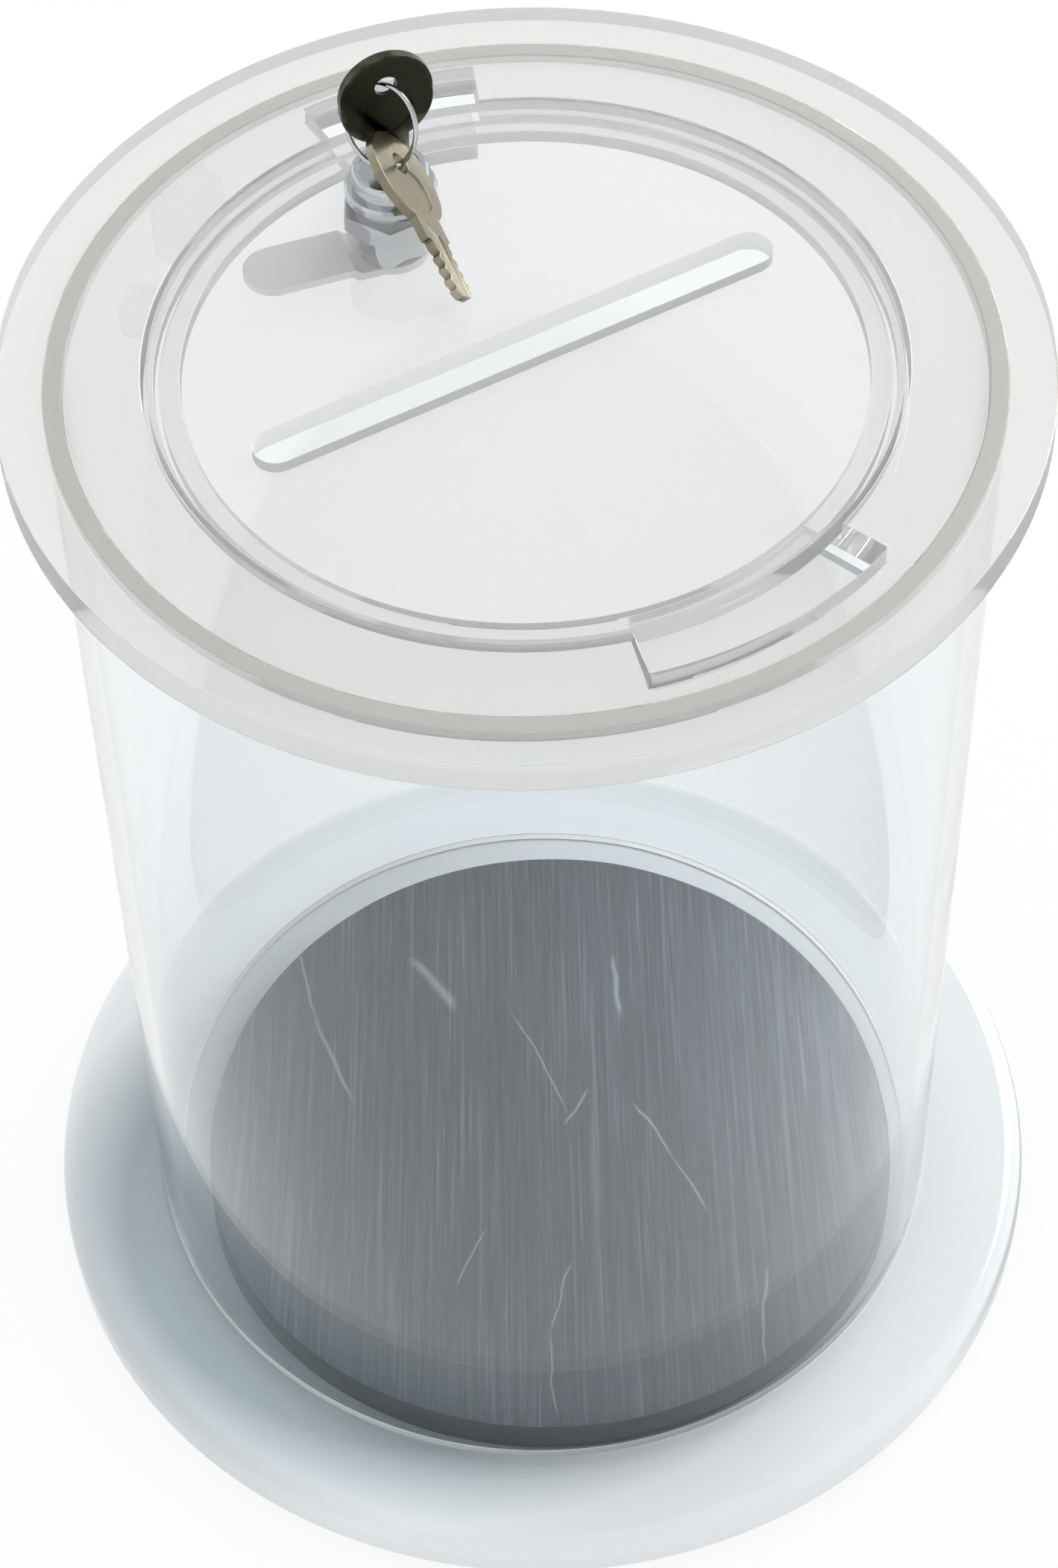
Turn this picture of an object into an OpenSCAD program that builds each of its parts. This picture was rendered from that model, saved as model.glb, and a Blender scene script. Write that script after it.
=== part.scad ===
// Round donation box: a clear tube standing on a white base plate, with a clear top ring,
// a turn-and-lift lid with a money slot, a keyed cam lock and a steel ballast disc inside.
// Units are millimetres. +Z is up, the origin is on the floor under the middle of the box.
// Angles are measured from +X, counter-clockwise seen from above.

/* [Base] */
// Diameter of the round base plate
base_d = 252; // [230:1:290]
// Thickness of the base plate
base_t = 10; // [8:0.5:14]
// Radius of the rounded upper edge of the base plate
base_round = 5; // [1:0.5:6]
// Height of the rubber feet
foot_h = 3; // [2:0.5:6]
// Diameter of each rubber foot
foot_d = 18; // [12:1:24]
// Distance from a foot's edge to the edge of the base plate
foot_inset = 14; // [8:1:24]

/* [Tube] */
// Outside diameter of the clear tube
tube_d = 200; // [190:1:210]
// Wall thickness of the clear tube
tube_wall = 4; // [3:0.5:5]
// Height from the top of the base plate to the top face of the lid
body_h = 282; // [240:1:320]

/* [Ballast disc] */
// Play between the loose steel disc and the tube, all round when it lies in the middle
disc_play = 7.5; // [2:0.5:15]
// Thickness of the steel disc
disc_t = 10; // [6:0.5:14]
// Gap left between the disc and the tube on the side it has slid to
disc_gap = 0.35; // [0.3:0.05:1]
// Direction in which the disc has slid
disc_way = -74.6; // [-180:1:180]
// Film of air between the disc and the base plate
disc_rest = 0.02; // [0.02:0.01:0.05]
// Bevel of the disc's edges
disc_edge = 0.8; // [0.3:0.1:2]

/* [Top ring] */
// How far the ring stands out beyond the tube
ring_over = 10; // [6:0.5:14]
// Thickness of the top ring
ring_t = 8; // [7:0.5:10]
// Distance from the tube's outside in to the recess the lid lies in
recess_in = 20.5; // [19:0.5:24]
// Depth of the recess, which is also the lid's thickness
recess_deep = 5; // [4:0.5:5.5]
// Width of the ledge under the lid's edge
ledge_w = 2.5; // [2:0.5:4]
// Depth of the groove that takes the tube's end
groove_deep = 4; // [2:0.5:4.5]
// Glue gap on each side of the tube in its groove
glue_gap = 0.1; // [0.05:0.05:0.3]
// Chamfer on the ring's outer edges
ring_edge = 0.6; // [0.2:0.1:1.5]

/* [Lid catches] */
// Direction of the wide notch
wide_at = -57; // [-90:1:-20]
// Angle covered by the wide notch
wide_angle = 37; // [30:1:44]
// Direction of the narrow notch
narrow_at = 109; // [100:1:120]
// Angle covered by the narrow notch
narrow_angle = 25; // [18:1:28]
// Distance from the notches' outer wall to the tube's inside
notch_wall = 5.5; // [4:0.5:8]
// Angular play on each side of a lug in its notch
lug_play = 1; // [0.5:0.1:2]
// Radial play at the end of a lug in its notch
lug_tip_gap = 2.5; // [1:0.1:4]
// Thickness of the lugs
lug_t = 4; // [3:0.5:6]
// Gap between a lug and the ring's underside
lug_gap = 0.4; // [0.2:0.1:1]
// Angle the lid turns from open to closed
lid_turn = 40; // [38:1:44]
// Angle covered by the block that ends the lid's turn
stop_angle = 6; // [3:0.5:10]
// Angle left between the closed lid's lug and the stop block
stop_play = 0.4; // [0.2:0.1:1]
// Distance from the ring's mouth to the stop block
stop_inset = 3; // [1:0.5:4]

/* [Lid] */
// Direction of the money slot with the lid open
lid_angle = 29; // [20:1:40]
// Gap between the lid's edge and the recess
lid_gap = 1; // [0.5:0.1:2]
// Gap between the spigot ring and the ledge
spigot_gap = 1; // [0.5:0.1:2]
// Wall thickness of the spigot ring
spigot_wall = 4.5; // [3:0.5:5]
// Length of the money slot
slot_l = 123; // [80:1:126]
// Width of the money slot
slot_w = 10; // [6:0.5:14]
// Distance of the slot's centre line from the lid's centre, towards the lock
slot_off = 3; // [0:0.5:6]
// Chamfer on the lid's edges
lid_edge = 0.4; // [0.1:0.1:1]

/* [Cam lock] */
// Gap between the nut's corners and the spigot ring
nut_gap = 1.95; // [1:0.05:4]
// Diameter of the lock's flat collar
head_d = 20; // [19:0.5:21]
// Thickness of the collar
head_t = 2; // [1:0.5:3]
// Bevel on the edges of the collar and the bezel
head_edge = 0.6; // [0.2:0.1:0.8]
// Diameter of the bezel round the key plug
bezel_d = 16.6; // [16:0.2:18]
// Height of the bezel above the lid
bezel_h = 6.5; // [4:0.5:8]
// Diameter of the threaded barrel
barrel_d = 16; // [15.6:0.1:17]
// Distance across the barrel's two flats
barrel_flats = 13.6; // [13.4:0.1:14.6]
// Length of the barrel below the lid's underside
barrel_l = 13; // [11:0.5:15]
// Play of the barrel in the lid's hole
barrel_gap = 0.15; // [0.1:0.05:0.3]
// Distance across the nut's flats
nut_af = 20; // [19:0.5:21]
// Thickness of the nut
nut_t = 5; // [3:0.5:6]
// How much wider than its flats the nut's chamfered face is
nut_face = 0.6; // [0:0.1:1.2]
// Diameter of the key plug
plug_d = 11; // [10:0.2:11.4]
// Diameter of the plug's front shoulder
shoulder_d = 13.2; // [12.6:0.2:13.6]
// Height of the plug's front shoulder
shoulder_h = 2; // [1:0.5:3]
// Running clearance of the plug in the barrel, on the radius
plug_play = 0.05; // [0.02:0.01:0.1]
// End play of the plug in the barrel
end_play = 0.1; // [0.05:0.05:0.2]
// Side of the square drive at the plug's lower end
drive_s = 6; // [5:0.2:6.4]
// Play between the drive and what it carries
drive_gap = 0.1; // [0.05:0.05:0.2]
// Thickness of the stop washer
washer_t = 1; // [0.6:0.1:1.5]
// How far the stop washer stands out past the plug
washer_over = 0.55; // [0.3:0.05:0.7]
// Gap between the stop washer and its pocket
washer_gap = 0.35; // [0.2:0.05:0.5]
// Angle covered by the stop washer's ear
ear_angle = 36; // [20:1:50]
// Angular play of the ear at each end of its pocket
ear_play = 2; // [1:0.5:3]
// Angle the key turns from open to locked
key_turn = 90; // [90:1:90]

/* [Cam] */
// Gap between the cam's end, turned straight outwards, and the tube
cam_gap = 4; // [2:0.5:6]
// Width of the cam
cam_w = 13.5; // [11:0.5:14]
// Thickness of the cam
cam_t = 2; // [1.5:0.1:2.5]
// Height of the step bent into the cam
cam_crank = 1.5; // [0.5:0.1:2]
// Distance from the lock's axis to the step
crank_at = 10; // [9:0.5:14]
// How far the cam's round hub stands out past its sides
hub_over = 1; // [0:0.5:2]
// Direction of the cam from the slot's direction, in the open position
cam_at = 169; // [164:1:172]
// Diameter of the cam screw's head
screw_d = 9; // [7:0.5:10]
// Height of the cam screw's head
screw_h = 2.6; // [2:0.1:3.5]
// Bevel of the cam screw's head
screw_edge = 1; // [0.4:0.1:1.4]
// Diameter of the cam screw's shank
screw_shank = 4; // [3:0.5:4.5]
// Length of the shank inside the drive
screw_in = 1.6; // [1:0.1:1.8]
// Thickness of the washer under the screw's head
clamp_t = 1; // [0.6:0.1:1.4]
// How far that washer stands out past the screw's head
clamp_over = 1; // [0.5:0.1:1.5]
// Length of the cross recess in the screw's head
cross_l = 5.4; // [4:0.1:6]
// Width of the cross recess
cross_w = 1.1; // [0.8:0.1:1.4]
// Depth of the cross recess
cross_deep = 1.3; // [0.8:0.1:1.8]

/* [Lock keeper] */
// Angle covered by the block behind which the cam locks
keeper_angle = 10.5; // [6:0.5:12]
// Angle between the closed cam's side and the keeper
keeper_gap = 3.2; // [2:0.1:5]
// Thickness of the keeper from the tube's wall inwards
keeper_w = 7.2; // [5:0.1:7.4]
// Length of the keeper below the ring
keeper_l = 15; // [12.5:0.5:20]

/* [Keys] */
// Radius of the bow's two overlapping rounds
bow_r = 10.3; // [9:0.1:11]
// Distance between the centres of the two rounds
bow_s = 2.4; // [1.5:0.1:3]
// Width of the key's neck
neck_w = 9; // [8:0.1:10]
// Length of the neck below the bow
neck_l = 4.5; // [3.5:0.1:7]
// Thickness of a key
key_t = 2; // [1.6:0.1:2.2]
// Width of the blade
blade_w = 6.4; // [6:0.1:6.6]
// Length of the blade
blade_l = 14; // [12:0.5:18]
// Number of cuts in each edge of the blade
cuts_n = 4; // [3:1:4]
// Distance from the blade's start to its first cut
cut_from = 3.1; // [2:0.1:3.6]
// Distance from one cut to the next
cut_step = 2.8; // [2.6:0.1:3]
// How much further down the other edge's cuts lie
cut_lag = 0.8; // [0:0.1:1]
// Side of the square corner that makes each cut
cut_s = 2.2; // [1.8:0.1:2.4]
// Depth of each cut
cut_deep = 1; // [0.4:0.1:1.2]
// Size of the two slanted faces that point the blade's tip
tip_s = 2.3; // [1:0.1:2.8]
// Width of the grooves along the blade
groove_w = 1; // [0.6:0.1:1.2]
// Distance of each groove from the blade's middle
groove_at = 0.8; // [0.7:0.1:1.2]
// Depth of the grooves and of the round panel in the bow
key_relief = 0.3; // [0.1:0.05:0.4]
// Radius of the round panel in the bow
panel_r = 5.7; // [4:0.1:7]
// Distance of the panel's middle below the lower round's middle
panel_down = 2; // [0:0.5:2.5]
// Play of the blade in the keyway, on each side
key_play = 0.2; // [0.1:0.05:0.3]
// Length of blade left outside the lock with the key pushed in
key_out = 3.5; // [0:0.1:5]
// Radius of the hole in the bow
eye_r = 2.5; // [2.2:0.1:2.6]
// Distance from the top of the bow to the middle of its hole
eye_down = 8; // [7:0.1:9]
// Turn of the keyway from the slot's direction
key_at = -9; // [-30:1:30]

/* [Key ring] */
// Radius of the ring's wire centre line
hoop_r = 9; // [8.8:0.05:9.4]
// Radius of the wire
wire_r = 0.55; // [0.4:0.05:0.6]
// Width of the line between the ring's two coils
split_w = 0.13; // [0.05:0.01:0.2]
// Depth of that line
split_deep = 0.22; // [0.1:0.02:0.3]
// Sideways distance from the upper key's hole to where the ring leaves the bow's plane
hoop_du = -7.4; // [-9:0.1:-6]
// Height of that point above the upper key's hole
hoop_dz = -14.95; // [-16:0.05:-13]
// Tilt of the ring about the line through those two points
hoop_tilt = 29.2; // [24:0.1:36]
// Place on the ring where the spare key hangs
spare_on = 34.5; // [28:0.1:40]
// Direction in which the spare key points
spare_way = -64.3; // [-72:0.1:-56]
// Turn of the spare key about its own length
spare_roll = -48; // [-56:0.1:-40]
// Height of the spare key's tip above the lid
spare_tip = 2.95; // [2.7:0.05:4]

/* [Hidden] */
$fn = 96;
cut = 1;                                  // overrun of a cutting shape past the face it opens
least_wall = 1;                           // least upright edge left under the base plate's rounding
base_top = foot_h + base_t;
lid_top = base_top + body_h;
lid_under = lid_top - recess_deep;
ring_under = lid_top - ring_t;
tube_r = tube_d / 2;
tube_in = tube_r - tube_wall;
tube_top = ring_under + groove_deep;
ring_r = tube_r + ring_over;
recess_r = tube_r - recess_in;
mouth_r = recess_r - ledge_w;
notch_r = tube_in - notch_wall;
lid_r = recess_r - lid_gap;
spigot_r = mouth_r - spigot_gap;
spigot_in = spigot_r - spigot_wall;
lug_top = ring_under - lug_gap;
lug_r = notch_r - lug_tip_gap;
foot_pr = base_d / 2 - foot_inset - foot_d / 2;
disc_r = tube_in - disc_play;
disc_shift = disc_play - disc_gap;

nut_r = nut_af / 2 / cos(30);
lock_at = spigot_in - nut_r - nut_gap;
cam_l = tube_in - lock_at - cam_gap;
lock_x = -lock_at * sin(lid_angle);
lock_y = lock_at * cos(lid_angle);
barrel_end = lid_under - barrel_l;        // lower face of the barrel's stop lip
washer_r = plug_d / 2 + washer_over;
pocket_r = washer_r + washer_gap;
ear_r = barrel_d / 2 - end_play;
plug_face = lid_top + bezel_h - end_play;
cam_top = barrel_end - end_play;
crank_in = 0.8;                           // how much nearer the axis the bend starts on top
clamp_top = cam_top - cam_t;              // the screw's washer lies against the cam here
screw_top = clamp_top - clamp_t;          // and its head against the washer

key_z = lid_top + bezel_h + key_out;      // height at which the key's neck starts
keyway_end = key_z - blade_l - end_play;  // the blade's tip stops here
bow_low = neck_l + bow_r;
bow_high = neck_l + bow_r + bow_s;
bow_top = bow_high + bow_r;
eye_y = bow_top - eye_down;

// Directions of the upper key: across its bow, and out of its face
kd = lid_angle + key_at;
key_u = [cos(kd), sin(kd), 0];
key_n = [sin(kd), -cos(kd), 0];
up = [0, 0, 1];
eye_1 = [lock_x, lock_y, key_z + eye_y];
// The ring passes through the upper key's hole and leaves the bow's plane at a second point
chord = hoop_du * key_u + hoop_dz * up;
chord_l = norm(chord);
ring_c = chord / chord_l;
side_flip = hoop_du < 0 ? -1 : 1;
ring_w = side_flip * (hoop_dz * key_u - hoop_du * up) / chord_l;
ring_e = cos(hoop_tilt) * key_n + sin(hoop_tilt) * ring_w;
ring_mid = eye_1 + chord / 2 + sqrt(hoop_r * hoop_r - chord_l * chord_l / 4) * ring_e;
ring_axis = cross(ring_e, ring_c);
// The spare key hangs on the ring and rests its tip just over the lid
eye_2 = ring_mid + hoop_r * (cos(spare_on) * ring_e + sin(spare_on) * ring_c);
spare_drop = (lid_top + spare_tip - eye_2[2]) / (eye_y + blade_l);
spare_flat = sqrt(1 - spare_drop * spare_drop);
spare_t = [cos(spare_way) * spare_flat, sin(spare_way) * spare_flat, spare_drop];
spare_side = cross(spare_t, up) / norm(cross(spare_t, up));
spare_up = cross(spare_side, spare_t);
spare_m = cos(spare_roll) * spare_up + sin(spare_roll) * spare_side;
spare_x = cross(-spare_t, spare_m);
spare_o = eye_2 + eye_y * spare_t;

// Piece to show, or all of them

// A ring or a sector of one, with a rectangular section
module band(r_in, r_out, z0, z1) {
    rotate_extrude() translate([r_in, z0]) square([r_out - r_in, z1 - z0]);
}

module sector(r_in, r_out, z0, z1, mid, wide) {
    rotate([0, 0, mid - wide / 2])
        rotate_extrude(angle = wide) translate([r_in, z0]) square([r_out - r_in, z1 - z0]);
}

// Place something in the lid's own directions
module on_lid() { rotate([0, 0, lid_angle]) children(); }
module on_lock() { translate([lock_x, lock_y, 0]) rotate([0, 0, lid_angle]) children(); }

// Round plate with a rounded upper edge
module base_plate() color("#eef0f1") {
    r = base_d / 2;
    e = min(base_round, base_t - least_wall);
    rotate_extrude() union() {
        translate([0, foot_h]) square([r, base_t - e]);
        translate([0, base_top - e]) square([r - e, e]);
        intersection() {
            translate([r - e, base_top - e]) circle(r = e);
            translate([r - e, base_top - e]) square([e, e]);
        }
    }
}

// Four stick-on rubber feet
module feet() color("#3a3a3c")
    for (a = [45 : 90 : 315]) rotate([0, 0, a]) translate([foot_pr, 0, 0]) {
        cylinder(d1 = foot_d - foot_h / 2, d2 = foot_d, h = foot_h / 2);
        translate([0, 0, foot_h / 2]) cylinder(d = foot_d, h = foot_h / 2);
    }

module tube() color("#dfe8ea", 0.35)
    band(tube_in, tube_r, base_top, tube_top);

// Flange with a recess for the lid, a ledge, two notches and a groove for the tube
module top_ring() color("#e6ecec", 0.35)
    difference() {
        rotate_extrude() polygon([
            [mouth_r, ring_under], [tube_in - glue_gap, ring_under],
            [tube_in - glue_gap, tube_top], [tube_r + glue_gap, tube_top],
            [tube_r + glue_gap, ring_under], [ring_r - ring_edge, ring_under],
            [ring_r, ring_under + ring_edge], [ring_r, lid_top - ring_edge],
            [ring_r - ring_edge, lid_top], [recess_r, lid_top],
            [recess_r, lid_under], [mouth_r, lid_under]]);
        sector(mouth_r - cut, notch_r, ring_under - cut, lid_top + cut, wide_at, wide_angle);
        sector(mouth_r - cut, notch_r, ring_under - cut, lid_top + cut, narrow_at, narrow_angle);
    }

// Where the cam ends up with the lid closed and locked
closed_angle = lid_angle + lid_turn;
locked_cam = cam_at + closed_angle - key_turn;
cam_reach_x = lock_at * cos(90 + closed_angle) + cam_l * cos(locked_cam);
cam_reach_y = lock_at * sin(90 + closed_angle) + cam_l * sin(locked_cam);
cam_dir = atan2(cam_reach_y, cam_reach_x);
keeper_r = tube_in - keeper_w;
keeper_end = cam_dir - asin(cam_w / 2 / keeper_r) - keeper_gap;

// Block bonded to the ring that the locked cam bears against
module lock_keeper() color("#dfe8ea", 0.45)
    sector(keeper_r, tube_in - 3 * glue_gap, ring_under - keeper_l, ring_under,
           keeper_end - keeper_angle / 2, keeper_angle);

// Block bonded to the ring that ends the lid's turn
lug_half = narrow_angle / 2 - lug_play;
module lug_stop() color("#dfe8ea", 0.45)
    sector(mouth_r + stop_inset, lug_r, lug_top - 2 * lug_t + lug_gap, ring_under,
           narrow_at + lid_turn + lug_half + stop_play + stop_angle / 2, stop_angle);

// Loose steel disc on the base plate
module ballast_disc() color("#8f979b")
    rotate([0, 0, disc_way]) translate([disc_shift, 0, base_top + disc_rest])
        rotate_extrude() polygon([
            [0, 0], [disc_r - disc_edge, 0], [disc_r, disc_edge],
            [disc_r, disc_t - disc_edge], [disc_r - disc_edge, disc_t], [0, disc_t]]);

// Ring under the lid that centres it in the ledge
module spigot_ring() color("#e2eaec", 0.4)
    band(spigot_in, spigot_r, lug_top, lid_under);

// Round lid with the money slot and the lock's hole
module lid_disc() color("#eceff0", 0.35)
    difference() {
        rotate_extrude() polygon([
            [0, lid_under], [lid_r, lid_under], [lid_r, lid_top - lid_edge],
            [lid_r - lid_edge, lid_top], [0, lid_top]]);
        on_lid() translate([0, slot_off, lid_under - cut])
            linear_extrude(recess_deep + 2 * cut) slot_shape();
        on_lock() translate([0, 0, lid_under - cut])
            linear_extrude(recess_deep + 2 * cut) double_d(barrel_gap);
    }

// Straight slot with round ends
module slot_shape() {
    square([slot_l - slot_w, slot_w], center = true);
    for (s = [-1, 1]) translate([s * (slot_l - slot_w) / 2, 0]) circle(d = slot_w);
}

// Circle with two flats, as wide as the lock's barrel plus a gap
module double_d(gap) intersection() {
    circle(d = barrel_d + 2 * gap);
    square([barrel_d + 2 * gap + 2 * cut, barrel_flats + 2 * gap], center = true);
}

// Catches under the lid that pass the notches and turn under the ring
module lug_wide() color("#e2eaec", 0.45)
    sector(spigot_in, lug_r, lug_top - lug_t, lug_top, wide_at, wide_angle - 2 * lug_play);
module lug_narrow() color("#e2eaec", 0.45)
    sector(spigot_in, lug_r, lug_top - lug_t, lug_top, narrow_at, narrow_angle - 2 * lug_play);

// Lock housing: collar, bezel and a barrel with two flats and a pocket for the stop washer
ear_mid = cam_at - key_turn / 2;
module lock_body() color("#c9ccce")
    on_lock() difference() {
        union() {
            translate([0, 0, barrel_end]) linear_extrude(lid_top - barrel_end) double_d(0);
            rotate_extrude() polygon([
                [plug_d / 2, lid_top], [head_d / 2, lid_top], [head_d / 2, lid_top + head_t - head_edge],
                [head_d / 2 - head_edge, lid_top + head_t], [bezel_d / 2, lid_top + head_t],
                [bezel_d / 2, lid_top + bezel_h - head_edge], [bezel_d / 2 - head_edge, lid_top + bezel_h],
                [plug_d / 2, lid_top + bezel_h]]);
        }
        translate([0, 0, barrel_end - cut])
            cylinder(r = plug_d / 2 + plug_play, h = barrel_l + recess_deep + bezel_h + 2 * cut);
        translate([0, 0, plug_face - shoulder_h - end_play])
            cylinder(r = shoulder_d / 2 + plug_play, h = shoulder_h + end_play + cut);
        translate([0, 0, barrel_end - cut]) cylinder(r = pocket_r, h = washer_t + cut);
        sector(pocket_r - cut, barrel_d / 2 + cut, barrel_end - cut, barrel_end + washer_t,
               ear_mid, key_turn + ear_angle + 2 * ear_play);
    }

// Hexagonal nut that clamps the lock to the lid
module lock_nut() color("#b9bcbf")
    on_lock() translate([0, 0, lid_under - nut_t]) difference() {
        intersection() {
            cylinder(r = nut_r, h = nut_t, $fn = 6);
            translate([0, 0, -cut])
                cylinder(d1 = nut_af + nut_face - 2 * cut, d2 = nut_af + nut_face + 2 * (nut_t + cut),
                         h = nut_t + 2 * cut);
        }
        translate([0, 0, -cut]) cylinder(r = barrel_d / 2 + barrel_gap, h = nut_t + 2 * cut);
    }

// Key plug with a keyway, a front shoulder and a square drive
module lock_plug() color("#b4b0a4")
    on_lock() difference() {
        union() {
            translate([0, 0, barrel_end + washer_t])
                cylinder(d = plug_d, h = plug_face - shoulder_h / 2 - barrel_end - washer_t);
            translate([0, 0, plug_face - shoulder_h]) cylinder(d = shoulder_d, h = shoulder_h);
            rotate([0, 0, cam_at]) translate([-drive_s / 2, -drive_s / 2, cam_top - cam_t + end_play])
                cube([drive_s, drive_s, barrel_end + washer_t - cam_top + cam_t]);
        }
        rotate([0, 0, key_at])
            translate([-blade_w / 2 - key_play, -key_t / 2 - key_play, keyway_end])
                cube([blade_w + 2 * key_play, key_t + 2 * key_play, plug_face + cut - keyway_end]);
        translate([0, 0, cam_top - cam_t - cut]) cylinder(d = screw_shank + 2 * drive_gap, h = cam_t + cut);
    }

// Washer whose ear limits the plug's turn in the barrel's pocket
module stop_washer() color("#b9bcbf")
    on_lock() difference() {
        union() {
            translate([0, 0, cam_top]) cylinder(r = washer_r, h = washer_t);
            sector(washer_r - cut, ear_r, cam_top, cam_top + washer_t,
                   cam_at, ear_angle);
        }
        translate([0, 0, cam_top + washer_t / 2]) rotate([0, 0, cam_at])
            cube([drive_s + 2 * drive_gap, drive_s + 2 * drive_gap, washer_t + 2 * cut], center = true);
    }

// Locking arm, stepped up once along its length
module cam() color("#a9adb0")
    on_lock() rotate([0, 0, cam_at]) difference() {
        intersection() {
            translate([0, 0, cam_top - cam_t]) linear_extrude(cam_t + cam_crank) cam_plan();
            rotate([90, 0, 0]) translate([0, 0, -cam_w]) linear_extrude(2 * cam_w)
                polygon([
                    [-cam_l, cam_top - cam_t], [crank_at, cam_top - cam_t],
                    [crank_at + cam_crank, cam_top - cam_t + cam_crank],
                    [2 * cam_l, cam_top - cam_t + cam_crank], [2 * cam_l, cam_top + cam_crank],
                    [crank_at + cam_crank - crank_in, cam_top + cam_crank],
                    [crank_at - crank_in, cam_top], [-cam_l, cam_top]]);
        }
        translate([0, 0, cam_top - cam_t / 2])
            cube([drive_s + 2 * drive_gap, drive_s + 2 * drive_gap, cam_t + 2 * cut], center = true);
    }

module cam_plan() {
    circle(r = cam_w / 2 + hub_over);
    translate([0, -cam_w / 2]) square([cam_l - cam_w / 2, cam_w]);
    translate([cam_l - cam_w / 2, 0]) circle(r = cam_w / 2);
}

// Screw and washer that hold the cam on the drive
module cam_screw() color("#c2c5c7")
    on_lock() difference() {
        union() {
            translate([0, 0, screw_top]) cylinder(d = screw_d + 2 * clamp_over, h = clamp_t);
            translate([0, 0, screw_top - screw_h + screw_edge])
                cylinder(d = screw_d, h = screw_h - screw_edge);
            translate([0, 0, screw_top - screw_h])
                cylinder(d1 = screw_d - 2 * screw_edge, d2 = screw_d, h = screw_edge);
            translate([0, 0, clamp_top]) cylinder(d = screw_shank, h = screw_in);
        }
        for (a = [45, 135]) rotate([0, 0, a])
            translate([0, 0, screw_top - screw_h])
                cube([cross_l, cross_w, 2 * cross_deep], center = true);
    }

// Flat key: X across the bow, Y from the blade's start up to the bow, Z out of its face
module key_blank() difference() {
    translate([0, 0, -key_t / 2]) linear_extrude(key_t) union() {
        translate([0, bow_low]) circle(r = bow_r);
        translate([0, bow_high]) circle(r = bow_r);
        translate([-neck_w / 2, 0]) square([neck_w, neck_l + 2 * cut]);
        blade_plan();
    }
    translate([0, eye_y, -key_t]) cylinder(r = eye_r, h = 2 * key_t);
    for (s = [-1, 1]) translate([0, bow_low - panel_down, s * key_t / 2])
        cylinder(r = panel_r, h = 2 * key_relief, center = true);
    for (s = [-1, 1]) translate([s * groove_at, (cut - blade_l) / 2, s * key_t / 2])
        cube([groove_w, blade_l + cut, 2 * key_relief], center = true);
}

// Blade with cuts in both edges and a pointed tip
module blade_plan() difference() {
    translate([-blade_w / 2, -blade_l]) square([blade_w, blade_l + cut]);
    for (s = [-1, 1], i = [0 : cuts_n - 1])
        translate([s * (blade_w / 2 - cut_deep + cut_s * sin(45)),
                   -cut_from - i * cut_step - (s > 0 ? cut_lag : 0)])
            rotate([0, 0, 45]) square(cut_s, center = true);
    for (s = [-1, 1]) translate([s * blade_w / 2, -blade_l])
        rotate([0, 0, 45]) square(tip_s, center = true);
}

module placed(x, y, z, o) {
    multmatrix([[x[0], y[0], z[0], o[0]], [x[1], y[1], z[1], o[1]], [x[2], y[2], z[2], o[2]]])
        children();
}

module key() color("#b9b4a4")
    placed(key_u, up, key_n, [lock_x, lock_y, key_z]) key_blank();

// Split ring: a round wire with the line between its two coils
module key_ring() color("#c4c6c8")
    placed(ring_e, ring_c, ring_axis, ring_mid) difference() {
        rotate_extrude() translate([hoop_r, 0]) difference() {
            circle(r = wire_r, $fn = 32);
            translate([wire_r - split_deep, -split_w / 2]) square([wire_r, split_w]);
        }
    }

module spare_key() color("#bdb8a8")
    placed(spare_x, -spare_t, spare_m, spare_o) key_blank();

base_plate();
feet();
tube();
top_ring();
lock_keeper();
lug_stop();
ballast_disc();
spigot_ring();
lid_disc();
lug_wide();
lug_narrow();
lock_body();
lock_nut();
lock_plug();
stop_washer();
cam();
cam_screw();
key();
key_ring();
spare_key();
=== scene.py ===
"""Looks, light and camera for a round clear donation box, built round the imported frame."""

import math

import bmesh
import bpy
from mathutils import Matrix, Vector


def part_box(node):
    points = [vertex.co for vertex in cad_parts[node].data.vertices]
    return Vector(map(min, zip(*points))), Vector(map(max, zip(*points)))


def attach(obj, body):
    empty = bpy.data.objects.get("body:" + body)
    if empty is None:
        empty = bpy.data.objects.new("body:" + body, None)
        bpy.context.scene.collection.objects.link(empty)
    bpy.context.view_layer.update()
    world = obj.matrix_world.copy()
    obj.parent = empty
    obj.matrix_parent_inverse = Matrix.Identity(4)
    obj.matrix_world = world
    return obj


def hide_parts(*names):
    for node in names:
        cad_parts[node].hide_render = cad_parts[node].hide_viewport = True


bl_info = {
    "name": "Clear Donation Box",
    "version": (1, 0, 0),
    "blender": (4, 5, 0),
    "location": "View3D > Sidebar > Donation Box",
    "description": "Builds and dresses a round clear donation box with a slotted, lockable lid",
    "category": "Object",
}

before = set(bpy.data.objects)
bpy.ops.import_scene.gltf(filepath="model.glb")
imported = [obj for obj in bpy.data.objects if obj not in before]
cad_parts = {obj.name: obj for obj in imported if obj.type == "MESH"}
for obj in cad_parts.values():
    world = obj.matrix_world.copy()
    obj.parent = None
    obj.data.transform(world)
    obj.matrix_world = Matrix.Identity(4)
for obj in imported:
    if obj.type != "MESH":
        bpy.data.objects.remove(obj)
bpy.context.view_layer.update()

MM = 0.001
ROUND_STEPS = 256  # steps in a full turn of the large clear rings
CORNER_STEPS = 16  # steps in each end of the slot and each side of the lock's hole
SMOOTH_ANGLE = 18.0  # edges sharper than this stay crisp, in degrees
WELD = 0.001 * MM  # corners of a new shape nearer than this are one
SOLID_WELD = 0.002 * MM  # the same for shapes cut or copied from solids
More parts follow.
